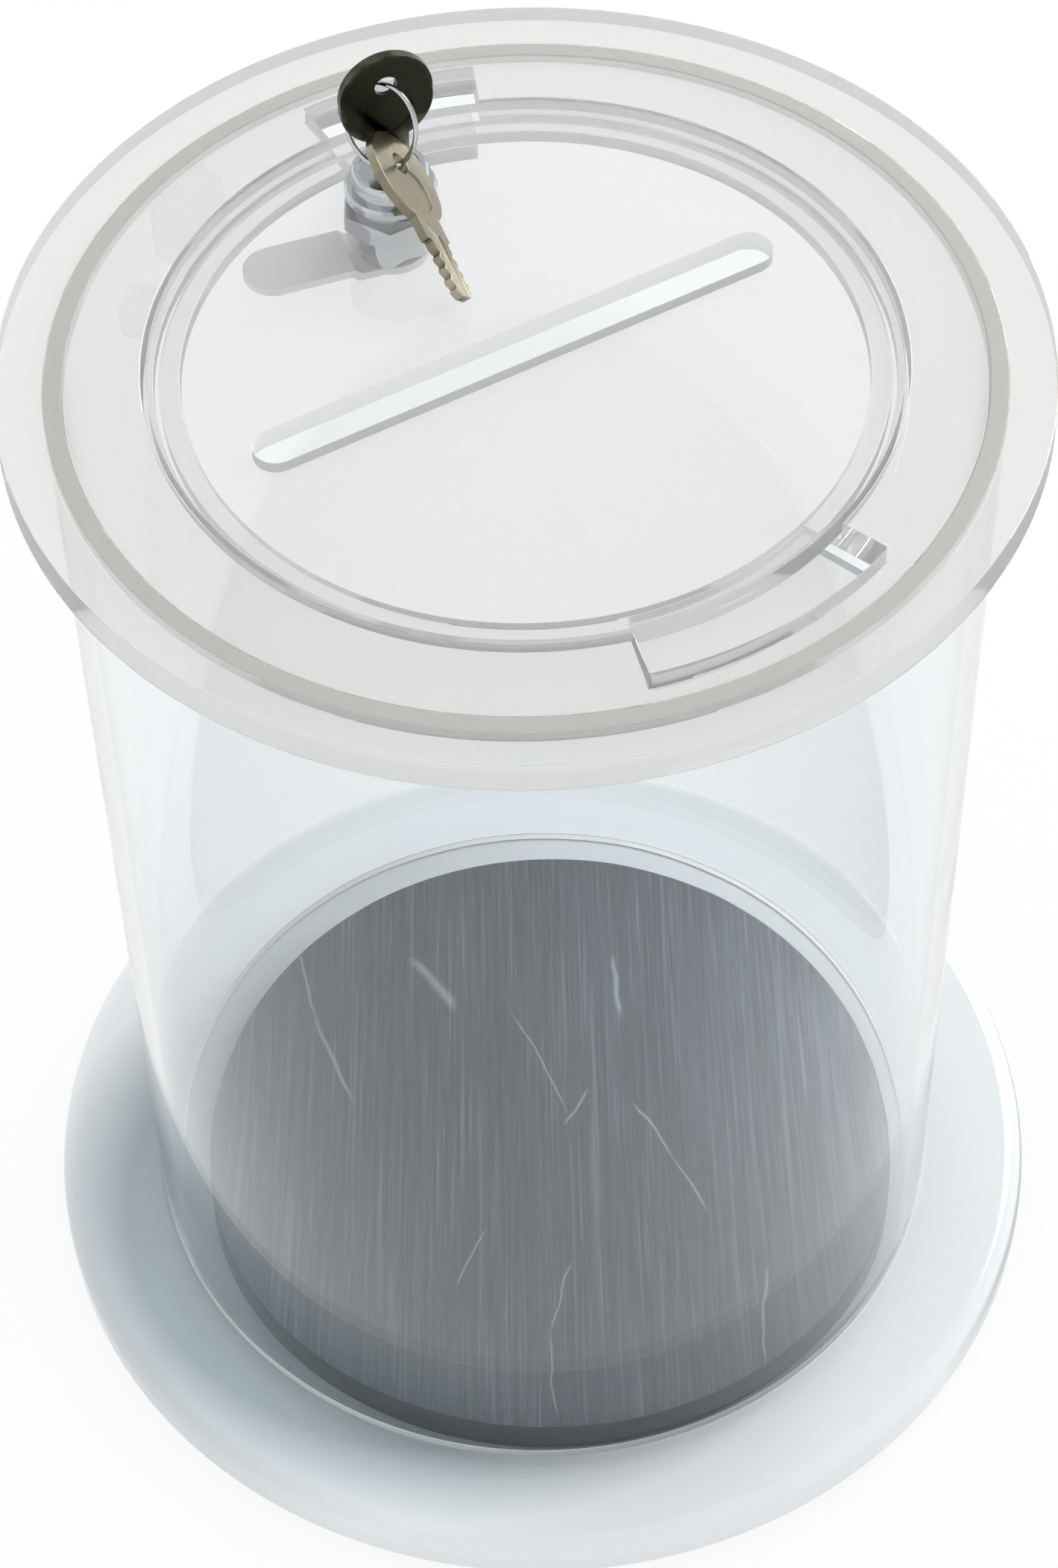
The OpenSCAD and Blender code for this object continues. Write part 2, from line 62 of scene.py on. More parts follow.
LEVEL = 1.0  # faces of a new sheet that meet at less than this are one, in degrees
SOLID_LEVEL = 0.5  # the same for copies of solids
ACRYLIC_IOR = 1.49


# Sizes read from the frame


def corners(node):
    """Lowest and highest corner of a CAD node as vectors."""
    low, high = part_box(node)
    return Vector(low), Vector(high)


def middle(node):
    """Middle of a CAD node's box."""
    low, high = corners(node)
    return (low + high) / 2


def radii(node):
    """Smallest and largest distance of a CAD node's corners from the box's upright axis."""
    away = [math.hypot(v.co.x, v.co.y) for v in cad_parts[node].data.vertices]
    return min(away), max(away)


def span(node):
    """Start and end of the angle that a CAD node covers round the axis, in degrees."""
    mid = middle(node)
    facing = math.atan2(mid.y, mid.x)
    turns = []
    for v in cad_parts[node].data.vertices:
        off = math.atan2(v.co.y, v.co.x) - facing
        turns.append(math.degrees((off + math.pi) % (2 * math.pi) - math.pi))
    return math.degrees(facing) + min(turns), math.degrees(facing) + max(turns)


LID_TOP = corners("top_ring")[1].z
RING_UNDER = corners("top_ring")[0].z
LID_UNDER = corners("lid_disc")[0].z
BASE_TOP = corners("base_plate")[1].z
PLATE_R = radii("base_plate")[1]
TUBE_IN, TUBE_R = radii("tube")
TUBE_TOP = corners("tube")[1].z
RING_R = radii("top_ring")[1]
MOUTH_R = radii("top_ring")[0]
LID_R = radii("lid_disc")[1]
SPIGOT_IN, SPIGOT_R = radii("spigot_ring")
SPIGOT_LOW = corners("spigot_ring")[0].z
LUG_R = radii("lug_wide")[1]
LUG_LOW = corners("lug_wide")[0].z
LOCK = middle("lock_nut")
LOCK_TURN = math.degrees(math.atan2(LOCK.y, LOCK.x)) - 90  # the slot's direction


# Colours and small helpers


def linear(code):
    """Linear RGBA of an sRGB hex colour such as "#c8cdd2"."""
    parts = [int(code[i : i + 2], 16) / 255 for i in (1, 3, 5)]
    return [c / 12.92 if c <= 0.04045 else ((c + 0.055) / 1.055) ** 2.4 for c in parts] + [1.0]


MIX_FACTOR, MIX_FROM, MIX_TO = 0, 6, 7  # inputs of a Mix node that mixes colours
MIX_COLOUR = 2  # and its output


def add(tree, kind, inputs=None, **settings):
    """Adds a shader node with its settings, and links or sets the inputs given.

    An input that shares its name with another is given by its number."""
    node = tree.nodes.new(kind)
    for name, value in settings.items():
        setattr(node, name, value)
    for name, value in (inputs or {}).items():
        if isinstance(value, bpy.types.NodeSocket):
            tree.links.new(value, node.inputs[name])
        else:
            node.inputs[name].default_value = value
    return node


def new_material(name):
    """A new node material, and its empty tree."""
    material = bpy.data.materials.new(name)
    material.use_nodes = True
    material.node_tree.nodes.clear()
    return material, material.node_tree


def paint(node, material):
    """Gives a whole CAD node one material."""
    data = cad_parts[node].data
    data.materials.clear()
    data.materials.append(material)


# Materials


SLANT_SHADE = "#a9b0b4"  # what a clear wall leaves of the light that meets it at a slant


def cast_acrylic(name, tint, milk=0.0):
    """Clear cast acrylic with polished faces: mirror-smooth, with the faintest body colour.

    A little milk in it is the bloom of rubbed sheet. Lamps shine through it, so what is inside is
    lit, but a wall that they meet at a slant throws a soft shade."""
    material, tree = new_material(name)
    place = add(tree, "ShaderNodeTexCoord").outputs["Object"]
    waves = add(tree, "ShaderNodeTexNoise", {"Vector": place, "Scale": 1 / (40 * MM), "Detail": 1.0})
    bump = add(
        tree, "ShaderNodeBump", {"Height": waves.outputs["Fac"], "Strength": 0.03, "Distance": 1 * MM}
    )
    sheet = add(
        tree,
        "ShaderNodeBsdfPrincipled",
        {
            "Base Color": linear(tint),
            "Roughness": 0.0,
            "IOR": ACRYLIC_IOR,
            "Transmission Weight": 1.0 - milk,
            "Normal": bump.outputs["Normal"],
        },
    )
    facing = add(tree, "ShaderNodeLayerWeight", {"Blend": 0.5})
    slant = add(
        tree,
        "ShaderNodeMapRange",
        {"Value": facing.outputs["Facing"], "From Min": 0.3, "From Max": 0.8},
    )
    shade = add(
        tree,
        "ShaderNodeMix",
        {MIX_FACTOR: slant.outputs["Result"], MIX_FROM: linear(tint), MIX_TO: linear(SLANT_SHADE)},
        data_type="RGBA",
    )
    open_air = add(tree, "ShaderNodeBsdfTransparent", {"Color": shade.outputs[MIX_COLOUR]})
    path = add(tree, "ShaderNodeLightPath")
    mix = add(
        tree,
        "ShaderNodeMixShader",
        {0: path.outputs["Is Shadow Ray"], 1: sheet.outputs[0], 2: open_air.outputs[0]},
    )
    add(tree, "ShaderNodeOutputMaterial", {"Surface": mix.outputs[0]})
    return material


def routed_edge(name, colour, cover, passes):
    """Cut edge of acrylic: frosted by the cutter, so it is a pale veil with fine upright lines.

    Cover is how much of it the frost covers, and passes is the share of light that goes through
    the frost, scattered. The cutter's lines are drawn 0.9 mm wide, so that they show."""
    material, tree = new_material(name)
    place = add(tree, "ShaderNodeTexCoord").outputs["Object"]
    lines = add(tree, "ShaderNodeMapping", {"Vector": place, "Scale": (1, 1, 0.15)})
    ticks = add(
        tree, "ShaderNodeTexNoise", {"Vector": lines.outputs[0], "Scale": 1 / (0.9 * MM), "Detail": 2.0}
    )
    bump = add(
        tree, "ShaderNodeBump", {"Height": ticks.outputs["Fac"], "Strength": 0.1, "Distance": 0.2 * MM}
    )
    edge = add(
        tree,
        "ShaderNodeBsdfPrincipled",
        {
            "Base Color": linear(colour),
            "Roughness": 0.5,
            "IOR": ACRYLIC_IOR,
            "Transmission Weight": passes,
            "Alpha": cover,
            "Normal": bump.outputs["Normal"],
        },
    )
    add(tree, "ShaderNodeOutputMaterial", {"Surface": edge.outputs[0]})
    return material


# Painted shade on the base plate: its colour is darkened round the tube's foot, on the side away from the
# window lamp
PAINTED_SHADE_SHIFT = (24 * MM, 22 * MM, 0)  # how far the shade on the plate leans away from the lamp
PAINTED_SHADE_SQUASH = (1, 1.12, 0)  # makes the shade an oval, shorter from front to back, at any height
PAINTED_SHADE_REACH = (-16 * MM, 8 * MM)  # where the shade starts to fade and ends, from the tube's outside
# Painted reflection on the base plate: a thin grey line painted along the outside of its rim, on the
# right-hand side only
PAINTED_RIM_REFLECTION_REACH = (-1.1 * MM, -0.3 * MM)  # where the rim line starts and is full, from the plate's outside
PAINTED_RIM_REFLECTION_SIDE = (100 * MM, 122 * MM)  # how far to the right the rim line starts and is full
PAINTED_RIM_REFLECTION = "#a3adab"
FLAT = (1, 1, 0)  # leaves the height out of a distance


def distance_from_axis(tree, place, shift=(0, 0, 0), squash=FLAT):
    """Level distance of a point from the box's upright axis, after a shift and a squash."""
    moved = add(tree, "ShaderNodeVectorMath", {0: place, 1: shift}, operation="ADD")
    level = add(tree, "ShaderNodeVectorMath", {0: moved.outputs[0], 1: squash}, operation="MULTIPLY")
    away = add(tree, "ShaderNodeVectorMath", {0: level.outputs[0]}, operation="LENGTH")
    return away.outputs["Value"]


def white_acrylic(colour, shade):
    """Opal white acrylic with a high gloss and the faintest waviness.

    Painted shade darkens its colour round the tube's foot, on the side away from the window lamp, and a
    painted reflection draws a thin grey line along its rim on the right."""
    material, tree = new_material("Opal white acrylic")
    place = add(tree, "ShaderNodeTexCoord").outputs["Object"]
    waves = add(tree, "ShaderNodeTexNoise", {"Vector": place, "Scale": 1 / (60 * MM), "Detail": 1.0})
    bump = add(
        tree, "ShaderNodeBump", {"Height": waves.outputs["Fac"], "Strength": 0.05, "Distance": 2 * MM}
    )
    lit = add(
        tree,
        "ShaderNodeMapRange",
        {
            "Value": distance_from_axis(tree, place, PAINTED_SHADE_SHIFT, PAINTED_SHADE_SQUASH),
            "From Min": TUBE_R + PAINTED_SHADE_REACH[0],
            "From Max": TUBE_R + PAINTED_SHADE_REACH[1],
        },
    )
    # Painted shade: the plate's colour turns to the shade colour round the tube's foot
    tone = add(
        tree,
        "ShaderNodeMix",
        {MIX_FACTOR: lit.outputs["Result"], MIX_FROM: linear(shade), MIX_TO: linear(colour)},
        data_type="RGBA",
    )
    # Painted reflection: the thin grey line along the right-hand side of the rim
    rim = add(
        tree,
        "ShaderNodeMapRange",
        {
            "Value": distance_from_axis(tree, place),
            "From Min": PLATE_R + PAINTED_RIM_REFLECTION_REACH[0],
            "From Max": PLATE_R + PAINTED_RIM_REFLECTION_REACH[1],
        },
    )
    parts = add(tree, "ShaderNodeSeparateXYZ", {0: place})
    painted_reflection_mask = add(
        tree,
        "ShaderNodeMapRange",
        {
            "Value": parts.outputs["X"],
            "From Min": PAINTED_RIM_REFLECTION_SIDE[0],
            "From Max": PAINTED_RIM_REFLECTION_SIDE[1],
            "To Max": rim.outputs["Result"],
        },
    )
    with_painted_reflection = add(
        tree,
        "ShaderNodeMix",
        {
            MIX_FACTOR: painted_reflection_mask.outputs["Result"],
            MIX_FROM: tone.outputs[MIX_COLOUR],
            MIX_TO: linear(PAINTED_RIM_REFLECTION),
        },
        data_type="RGBA",
    )
    body = add(
        tree,
        "ShaderNodeBsdfPrincipled",
        {
            "Base Color": with_painted_reflection.outputs[MIX_COLOUR],
            "Roughness": 0.1,
            "IOR": ACRYLIC_IOR,
            "Normal": bump.outputs["Normal"],
        },
    )
    add(tree, "ShaderNodeOutputMaterial", {"Surface": body.outputs[0]})
    return material


ROUGH_SWING = (0.7, 1.4)  # how far the grain takes a plated metal's roughness down and up


def plated_metal(name, colour, roughness, grain_mm, strength, haze=0.0):
    """Plated metal with a fine unevenness of the given size. Haze makes it paler and partly matt."""
    material, tree = new_material(name)
    place = add(tree, "ShaderNodeTexCoord").outputs["Object"]
    grain = add(tree, "ShaderNodeTexNoise", {"Vector": place, "Scale": 1 / (grain_mm * MM), "Detail": 3.0})
    bump = add(
        tree, "ShaderNodeBump", {"Height": grain.outputs["Fac"], "Strength": strength, "Distance": 0.2 * MM}
    )
    smoothest, roughest = (roughness * swing for swing in ROUGH_SWING)
    rough = add(
        tree,
        "ShaderNodeMapRange",
        {"Value": grain.outputs["Fac"], "To Min": smoothest, "To Max": roughest},
    )
    metal = add(
        tree,
        "ShaderNodeBsdfPrincipled",
        {
            "Base Color": linear(colour),
            "Metallic": 1.0 - haze,
            "Roughness": rough.outputs["Result"],
            "Normal": bump.outputs["Normal"],
        },
    )
    add(tree, "ShaderNodeOutputMaterial", {"Surface": metal.outputs[0]})
    return material


# Painted shade and dark reflection on the keys: each bow is painted dark, fading to the blade's tone
PAINTED_BOW_REACH = (13 * MM, 22 * MM)  # where a key's dark bow starts to fade and ends, from its eye
PAINTED_BOW_DRIFT = 6 * MM  # how much the edge of the painted dark bow wanders


def nickel_with_painted_bow(name, eye, painted_bow_colour, blade_colour):
    """Nickel-plated brass key.

    The bow is darkened with painted shade and painted dark reflection, fading out towards the pale blade."""
    material, tree = new_material(name)
    place = add(tree, "ShaderNodeTexCoord").outputs["Object"]
    away = add(tree, "ShaderNodeVectorMath", {0: place, 1: eye}, operation="DISTANCE")
    cloud = add(tree, "ShaderNodeTexNoise", {"Vector": place, "Scale": 1 / (4 * MM), "Detail": 4.0})
    drift = add(
        tree,
        "ShaderNodeMath",
        {0: cloud.outputs["Fac"], 1: PAINTED_BOW_DRIFT, 2: away.outputs["Value"]},
        operation="MULTIPLY_ADD",
    )
    bow_fade = add(
        tree,
        "ShaderNodeMapRange",
        {"Value": drift.outputs[0], "From Min": PAINTED_BOW_REACH[0], "From Max": PAINTED_BOW_REACH[1]},
    )
    tone = add(
        tree,
        "ShaderNodeMix",
        {
            MIX_FACTOR: bow_fade.outputs["Result"],
            MIX_FROM: linear(painted_bow_colour),
            MIX_TO: linear(blade_colour),
        },
        data_type="RGBA",
    )
    scuffs = add(tree, "ShaderNodeTexNoise", {"Vector": place, "Scale": 1 / (0.5 * MM), "Detail": 3.0})
    bump = add(
        tree, "ShaderNodeBump", {"Height": scuffs.outputs["Fac"], "Strength": 0.2, "Distance": 0.1 * MM}
    )
    metal = add(
        tree,
        "ShaderNodeBsdfPrincipled",
        {
            "Base Color": tone.outputs[MIX_COLOUR],
            "Metallic": 1.0,
            "Roughness": 0.26,
            "Normal": bump.outputs["Normal"],
        },
    )
    add(tree, "ShaderNodeOutputMaterial", {"Surface": metal.outputs[0]})
    return material


def foot_rubber():
    """Moulded black rubber of stick-on feet: matt, with a fine sandy skin."""
    material, tree = new_material("Moulded black rubber")
    place = add(tree, "ShaderNodeTexCoord").outputs["Object"]
    sand = add(tree, "ShaderNodeTexNoise", {"Vector": place, "Scale": 1 / (0.6 * MM), "Detail": 2.0})
    bump = add(
        tree, "ShaderNodeBump", {"Height": sand.outputs["Fac"], "Strength": 0.3, "Distance": 0.2 * MM}
    )
    rubber = add(
        tree,
        "ShaderNodeBsdfPrincipled",
        {"Base Color": linear("#26272a"), "Roughness": 0.8, "IOR": 1.5, "Normal": bump.outputs["Normal"]},
    )
    add(tree, "ShaderNodeOutputMaterial", {"Surface": rubber.outputs[0]})
    return material


SCRATCH_FADE = (0.7, 1.1)  # a scratch fades out over this part of half its length, from its middle
# Scratches in the steel disc, each from one point to another with its half width, in millimetres
SCRATCHES = (
    ((-66, 51), (-60, 30), 0.5),
    ((-60, 30), (-50, 3), 0.7),
    ((-35, 48), (-22, 32), 1.6),
    ((20, 48), (22, 28), 0.9),
    ((24, 0), (34, -17), 0.5),
    ((34, -17), (42, -33), 0.4),
    ((55, -51), (52, -79), 0.6),
    ((7, -48), (1, -68), 0.4),
    ((1, -68), (2, -92), 0.4),
    ((-22, -54), (-15, -38), 0.4),
    ((6, -6), (12, 5), 0.5),
    ((-7, 30), (7, -2), 0.4),
)


def scratch_mask(tree, place, wobble):
    """Brightest of all scratches at a point: one inside a scratch, fading to nothing at its edge."""
    total = None
    for start, end, wide in SCRATCHES:
        a = Vector((start[0], start[1], 0)) * MM
        b = Vector((end[0], end[1], 0)) * MM
        along = (b - a).normalized()
        across = Vector((-along.y, along.x, 0))
        off = add(tree, "ShaderNodeVectorMath", {0: place, 1: (a + b) / 2}, operation="SUBTRACT")
        side = add(tree, "ShaderNodeVectorMath", {0: off.outputs[0], 1: across}, operation="DOT_PRODUCT")
        bent = add(tree, "ShaderNodeMath", {0: side.outputs["Value"], 1: wobble}, operation="ADD")
        reach = add(tree, "ShaderNodeVectorMath", {0: off.outputs[0], 1: along}, operation="DOT_PRODUCT")
        near = add(tree, "ShaderNodeMath", {0: bent.outputs[0]}, operation="ABSOLUTE")
        thin = add(
            tree,
            "ShaderNodeMapRange",
            {"Value": near.outputs[0], "From Max": wide * MM, "To Min": 1.0, "To Max": 0.0},
        )
        far = add(tree, "ShaderNodeMath", {0: reach.outputs["Value"]}, operation="ABSOLUTE")
        fade_start, fade_end = ((b - a).length / 2 * part for part in SCRATCH_FADE)
        ends = add(
            tree,
            "ShaderNodeMapRange",
            {
                "Value": far.outputs[0],
                "From Min": fade_start,
                "From Max": fade_end,
                "To Min": 1.0,
                "To Max": 0.0,
            },
        )
        mark = add(
            tree,
            "ShaderNodeMath",
            {0: thin.outputs["Result"], 1: ends.outputs["Result"]},
            operation="MULTIPLY",
        )
        if total is None:
            total = mark
        else:
            total = add(
                tree, "ShaderNodeMath", {0: total.outputs[0], 1: mark.outputs[0]}, operation="MAXIMUM"
            )
    return total.outputs[0]


# Hairline sets: turn in degrees, width in millimetres, squeeze along the line, level above which
# it shows
HAIRLINES = (
    (14, 1.1, 0.02, 0.6),
    (-24, 1.0, 0.025, 0.62),
    (-8, 1.3, 0.015, 0.6),
)
HAIR_RISE = 0.12  # how far above that level a hairline is full
HAIR_SHARE = 0.22  # how strong a hairline is beside a scratch
MARK_SHARE = 0.6  # how strong a full scratch is
SCRATCH_HEIGHT = -0.6  # a scratch is cut this deep, against brush lines one high
BRUSH_TURN = 2.0  # degrees between the brush lines and the Y axis
BARE_STEEL = "#aab2b6"  # colour of the metal laid bare in a scratch
BRUSH_LEVELS = (0.22, 0.78)  # part of the brush noise that goes from the dark to the light tone


def hairlines(tree, place, turn, width_mm, squeeze, low):
    """Long thin marks in one direction: noise drawn out along a line, with only its peaks kept."""
    along = add(
        tree,
        "ShaderNodeMapping",
        {"Vector": place, "Rotation": (0, 0, math.radians(turn)), "Scale": (1, squeeze, 1)},
    )
    streaks = add(
        tree,
        "ShaderNodeTexNoise",
        {"Vector": along.outputs[0], "Scale": 1 / (width_mm * MM), "Detail": 1.0},
    )
    peaks = add(
        tree,
        "ShaderNodeMapRange",
        {"Value": streaks.outputs["Fac"], "From Min": low, "From Max": low + HAIR_RISE},
    )
    return peaks.outputs["Result"]


def brushed_steel(dark, light):
    """Cold-rolled steel brushed straight in one direction, clouded by oil, with hairlines and scratches.

    The brush lines are drawn 0.9 mm wide, coarser than real ones, so that they show."""
    material, tree = new_material("Straight-brushed steel")
    place = add(tree, "ShaderNodeTexCoord").outputs["Object"]
    lines = add(
        tree,
        "ShaderNodeMapping",
        {"Vector": place, "Rotation": (0, 0, math.radians(BRUSH_TURN)), "Scale": (1, 0.02, 1)},
    )
    fine = add(
        tree,
        "ShaderNodeTexNoise",
        {"Vector": lines.outputs[0], "Scale": 1 / (0.9 * MM), "Detail": 4.0, "Roughness": 0.7},
    )
    cloud = add(tree, "ShaderNodeTexNoise", {"Vector": place, "Scale": 1 / (45 * MM), "Detail": 4.0})
    wander = add(tree, "ShaderNodeTexNoise", {"Vector": place, "Scale": 1 / (22 * MM), "Detail": 2.0})
    wobble = add(
        tree,
        "ShaderNodeMapRange",
        {"Value": wander.outputs["Fac"], "To Min": -3 * MM, "To Max": 3 * MM},
    )
    scratch = scratch_mask(tree, place, wobble.outputs["Result"])
    brushed = add(
        tree,
        "ShaderNodeMapRange",
        {"Value": fine.outputs["Fac"], "From Min": BRUSH_LEVELS[0], "From Max": BRUSH_LEVELS[1]},
    )
    tone = add(
        tree,
        "ShaderNodeMix",
        {MIX_FACTOR: brushed.outputs["Result"], MIX_FROM: linear(dark), MIX_TO: linear(light)},
        data_type="RGBA",
    )
    patch = add(
        tree, "ShaderNodeMapRange", {"Value": cloud.outputs["Fac"], "To Min": 0.8, "To Max": 1.15}
    )
    clouded = add(
        tree,
        "ShaderNodeVectorMath",
        {0: tone.outputs[MIX_COLOUR], "Scale": patch.outputs["Result"]},
        operation="SCALE",
    )
    marks = scratch
    for hairline in HAIRLINES:
        hair = hairlines(tree, place, *hairline)
        both = add(tree, "ShaderNodeMath", {0: hair, 1: HAIR_SHARE, 2: marks}, operation="MULTIPLY_ADD")
        marks = both.outputs[0]
    faint = add(tree, "ShaderNodeMath", {0: marks, 1: MARK_SHARE}, operation="MULTIPLY", use_clamp=True)
    marked = add(
        tree,
        "ShaderNodeMix",
        {MIX_FACTOR: faint.outputs[0], MIX_FROM: clouded.outputs[0], MIX_TO: linear(BARE_STEEL)},
        data_type="RGBA",
    )
    rough = add(
        tree, "ShaderNodeMapRange", {"Value": cloud.outputs["Fac"], "To Min": 0.34, "To Max": 0.48}
    )
    height = add(
        tree,
        "ShaderNodeMath",
        {0: scratch, 1: SCRATCH_HEIGHT, 2: fine.outputs["Fac"]},
        operation="MULTIPLY_ADD",
    )
    bump = add(
        tree, "ShaderNodeBump", {"Height": height.outputs[0], "Strength": 0.12, "Distance": 0.2 * MM}
    )
    steel = add(
        tree,
        "ShaderNodeBsdfPrincipled",
        {
            "Base Color": marked.outputs[MIX_COLOUR],
            "Metallic": 1.0,
            "Roughness": rough.outputs["Result"],
            "Normal": bump.outputs["Normal"],
        },
    )
    add(tree, "ShaderNodeOutputMaterial", {"Surface": steel.outputs[0]})
    return material


# Mesh helpers


def keep(bm, name, materials, body, replaces=()):
    """Turns a bmesh into a finished piece that rides on a body and stands for CAD nodes."""
    bmesh.ops.remove_doubles(bm, verts=bm.verts, dist=WELD)
    bmesh.ops.recalc_face_normals(bm, faces=bm.faces)
    mesh = bpy.data.meshes.new(name)
    bm.to_mesh(mesh)
    bm.free()
    mesh.polygons.foreach_set("use_smooth", [True] * len(mesh.polygons))
    mesh.set_sharp_from_angle(angle=math.radians(SMOOTH_ANGLE))
    piece = bpy.data.objects.new(name, mesh)
    bpy.context.scene.collection.objects.link(piece)
    for material in materials:
        mesh.materials.append(material)
    if body:
        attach(piece, body)
    if replaces:
        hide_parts(*replaces)
    return piece


def lathe(profile, steps=ROUND_STEPS, angle=360.0, start=0.0):
    """A bmesh turned about Z from a closed outline of (radius, height) points in metres."""
    bm = bmesh.new()
    verts = [bm.verts.new((r, 0, z)) for r, z in profile]
    full = angle == 360.0
    if full:
        sides = [pair for pair in zip(verts, verts[1:] + verts[:1]) if pair[0].co.x or pair[1].co.x]
        geometry = verts + [bm.edges.new(pair) for pair in sides]
    else:
        geometry = [bm.faces.new(verts)]
    bmesh.ops.rotate(bm, verts=verts, cent=(0, 0, 0), matrix=Matrix.Rotation(math.radians(start), 3, "Z"))
    bmesh.ops.spin(
        bm,
        geom=geometry,
        cent=(0, 0, 0),
        axis=(0, 0, 1),
        angle=math.radians(angle),
        steps=steps,
        use_merge=full,
        use_duplicate=False,
    )
    bmesh.ops.remove_doubles(bm, verts=bm.verts, dist=WELD)
    bmesh.ops.recalc_face_normals(bm, faces=bm.faces)
    return bm


def block(r_in, r_out, low, high, start, end):
    """A bmesh of a sector of a ring with a rectangular section, with about one step a degree."""
    outline = [(r_in, low), (r_out, low), (r_out, high), (r_in, high)]
    return lathe(outline, steps=max(4, round(end - start)), angle=end - start, start=start)


def ease(bm, width, steps=2, least=40.0):
    """Rounds every edge whose faces meet at more than a least angle, given in degrees."""
    sharp = [e for e in bm.edges if len(e.link_faces) == 2 and e.calc_face_angle() > math.radians(least)]
    bmesh.ops.bevel(
        bm,
        geom=sharp,
        offset=width,
        offset_type="OFFSET",
        affect="EDGES",
        segments=steps,
        profile=0.5,
        clamp_overlap=True,
        material=-1,
    )
    return bm


def carve(bm, cutters):
    """Cuts the cutters' bmeshes out of a bmesh, and returns the result."""
    shapes = []
    for solid in [bm] + cutters:
        mesh = bpy.data.meshes.new("shape")
        solid.to_mesh(mesh)
        solid.free()
        item = bpy.data.objects.new("shape", mesh)
        bpy.context.scene.collection.objects.link(item)
        shapes.append(item)
    for tool in shapes[1:]:
        cut = shapes[0].modifiers.new("cut", "BOOLEAN")
        cut.object = tool
        cut.operation = "DIFFERENCE"
        cut.solver = "EXACT"
    bpy.context.view_layer.update()
    result = bmesh.new()
    result.from_object(shapes[0], bpy.context.evaluated_depsgraph_get())
    for item in shapes:
        mesh = item.data
        bpy.data.objects.remove(item)
        bpy.data.meshes.remove(mesh)
    bmesh.ops.remove_doubles(result, verts=result.verts, dist=SOLID_WELD)
    return result


def mark_cuts(bm, flat=0.5):
    """Gives the upright faces of a flat piece the second material, which is that of its cut edge.

    Flat is the height of a face's normal past which the face isn't part of the cut."""
    bm.normal_update()
    for face in bm.faces:
        face.material_index = 1 if abs(face.normal.z) < flat else 0


def plate(outlines, low, high):
    """A bmesh of a level sheet: the first outline is its rim and the others are holes through it."""
    bm = bmesh.new()
    for outline in outlines:
        verts = [bm.verts.new((x, y, low)) for x, y in outline]
        for pair in zip(verts, verts[1:] + verts[:1]):
            bm.edges.new(pair)
    bmesh.ops.triangle_fill(bm, use_beauty=True, use_dissolve=False, edges=bm.edges[:])
    bmesh.ops.dissolve_limit(bm, angle_limit=math.radians(LEVEL), verts=bm.verts[:], edges=bm.edges[:])
    lifted = bmesh.ops.extrude_face_region(bm, geom=bm.faces[:])
    tops = [v for v in lifted["geom"] if isinstance(v, bmesh.types.BMVert)]
    bmesh.ops.translate(bm, verts=tops, vec=(0, 0, high - low))
    bmesh.ops.recalc_face_normals(bm, faces=bm.faces)
    return bm


def arc(cx, cy, radius, start, end, steps):
    """Points of an arc, angles in degrees."""
    turns = [math.radians(start + (end - start) * i / steps) for i in range(steps + 1)]
    return [(cx + radius * math.cos(a), cy + radius * math.sin(a)) for a in turns]


def turned(points, angle, dx=0.0, dy=0.0):
    """Points turned about the origin by degrees and then moved."""
    c, s = math.cos(math.radians(angle)), math.sin(math.radians(angle))
    return [(x * c - y * s + dx, x * s + y * c + dy) for x, y in points]


# Rounding of the edges of the lock's and keys' pieces
EASED = {
    "lock_body": 0.2 * MM,
    "lock_nut": 0.3 * MM,
    "lock_plug": 0.12 * MM,
    "stop_washer": 0.08 * MM,
    "cam": 0.2 * MM,
    "cam_screw": 0.12 * MM,
    "key": 0.2 * MM,
    "spare_key": 0.2 * MM,
}


def eased_copy(node, material, body):
    """A merged copy of a CAD node with its edges rounded, which stands for it."""
    bm = bmesh.new()
    bm.from_mesh(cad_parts[node].data)
    bmesh.ops.remove_doubles(bm, verts=bm.verts, dist=SOLID_WELD)
    bmesh.ops.dissolve_limit(
        bm, angle_limit=math.radians(SOLID_LEVEL), verts=bm.verts[:], edges=bm.edges[:]
    )
    ease(bm, EASED[node])
    return keep(bm, node + "_finished", [material], body, [node])


# Settings


